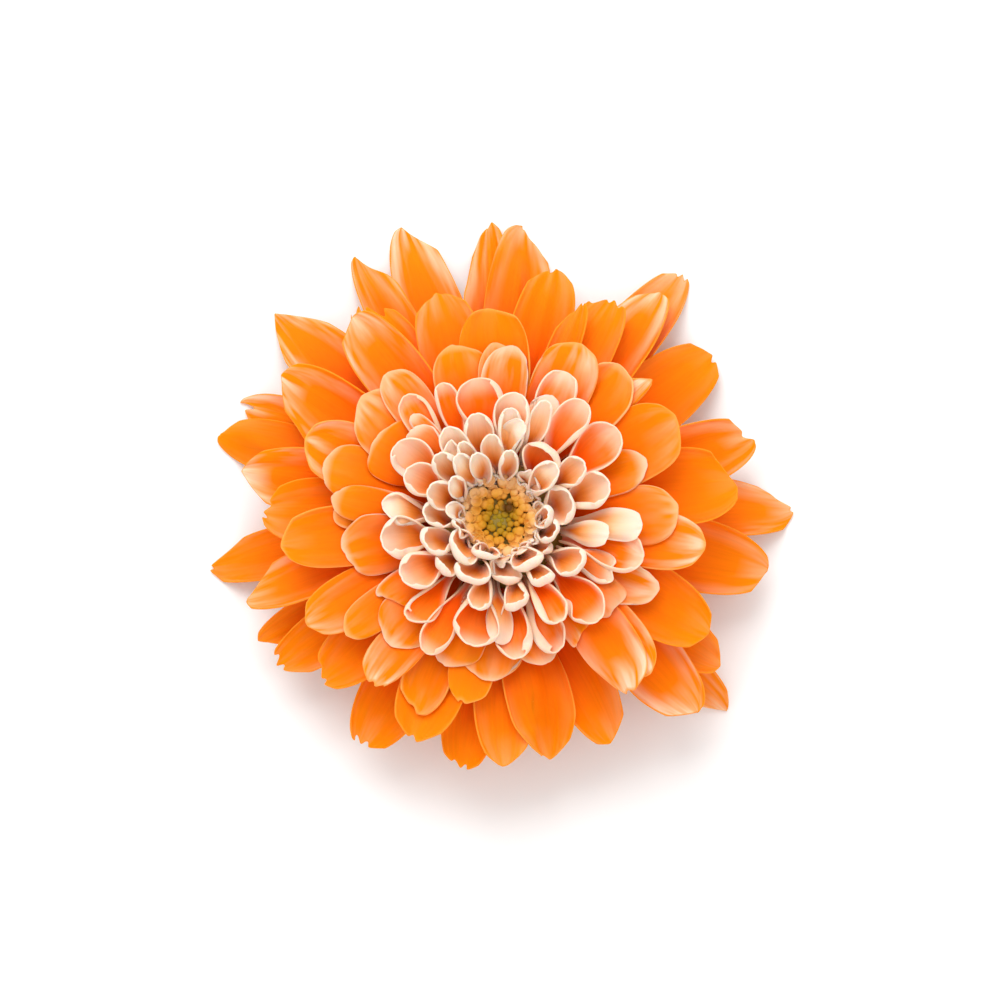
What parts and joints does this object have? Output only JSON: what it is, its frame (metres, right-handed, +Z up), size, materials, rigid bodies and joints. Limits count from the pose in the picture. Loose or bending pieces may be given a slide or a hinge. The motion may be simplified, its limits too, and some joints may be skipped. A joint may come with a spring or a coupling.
{
  "type": "chrysanthemum flower head",
  "caption": "Cut chrysanthemum head lying face up: drooping orange outer florets, cream spoon-shaped inner florets, a low disc, a bracted cup and a stub of stalk.",
  "frame": {"origin": "middle of the stalk's cut end, on the surface that the head stands on", "axes": "+Z up out of the flower's face, -Y towards whoever looks at it in the picture's view, +X to their right"},
  "size_m": [0.0743, 0.072, 0.0215],
  "materials": {
    "outer_florets": "soft satin petal, saturated orange with lighter tips and cream margins",
    "inner_florets": "soft satin petal, peach inside with thick cream rims",
    "disc_florets": "matte, tan-yellow buds round an olive-green eye",
    "involucre": "matte leaf green",
    "stalk": "matte green, ribbed"
  },
  "bodies": {
    "root": {"stalk": "stalk", "involucre": "involucre", "outer_florets": "outer_florets", "inner_florets": "inner_florets", "disc_florets": "disc_florets"}
  },
  "joints": []
}
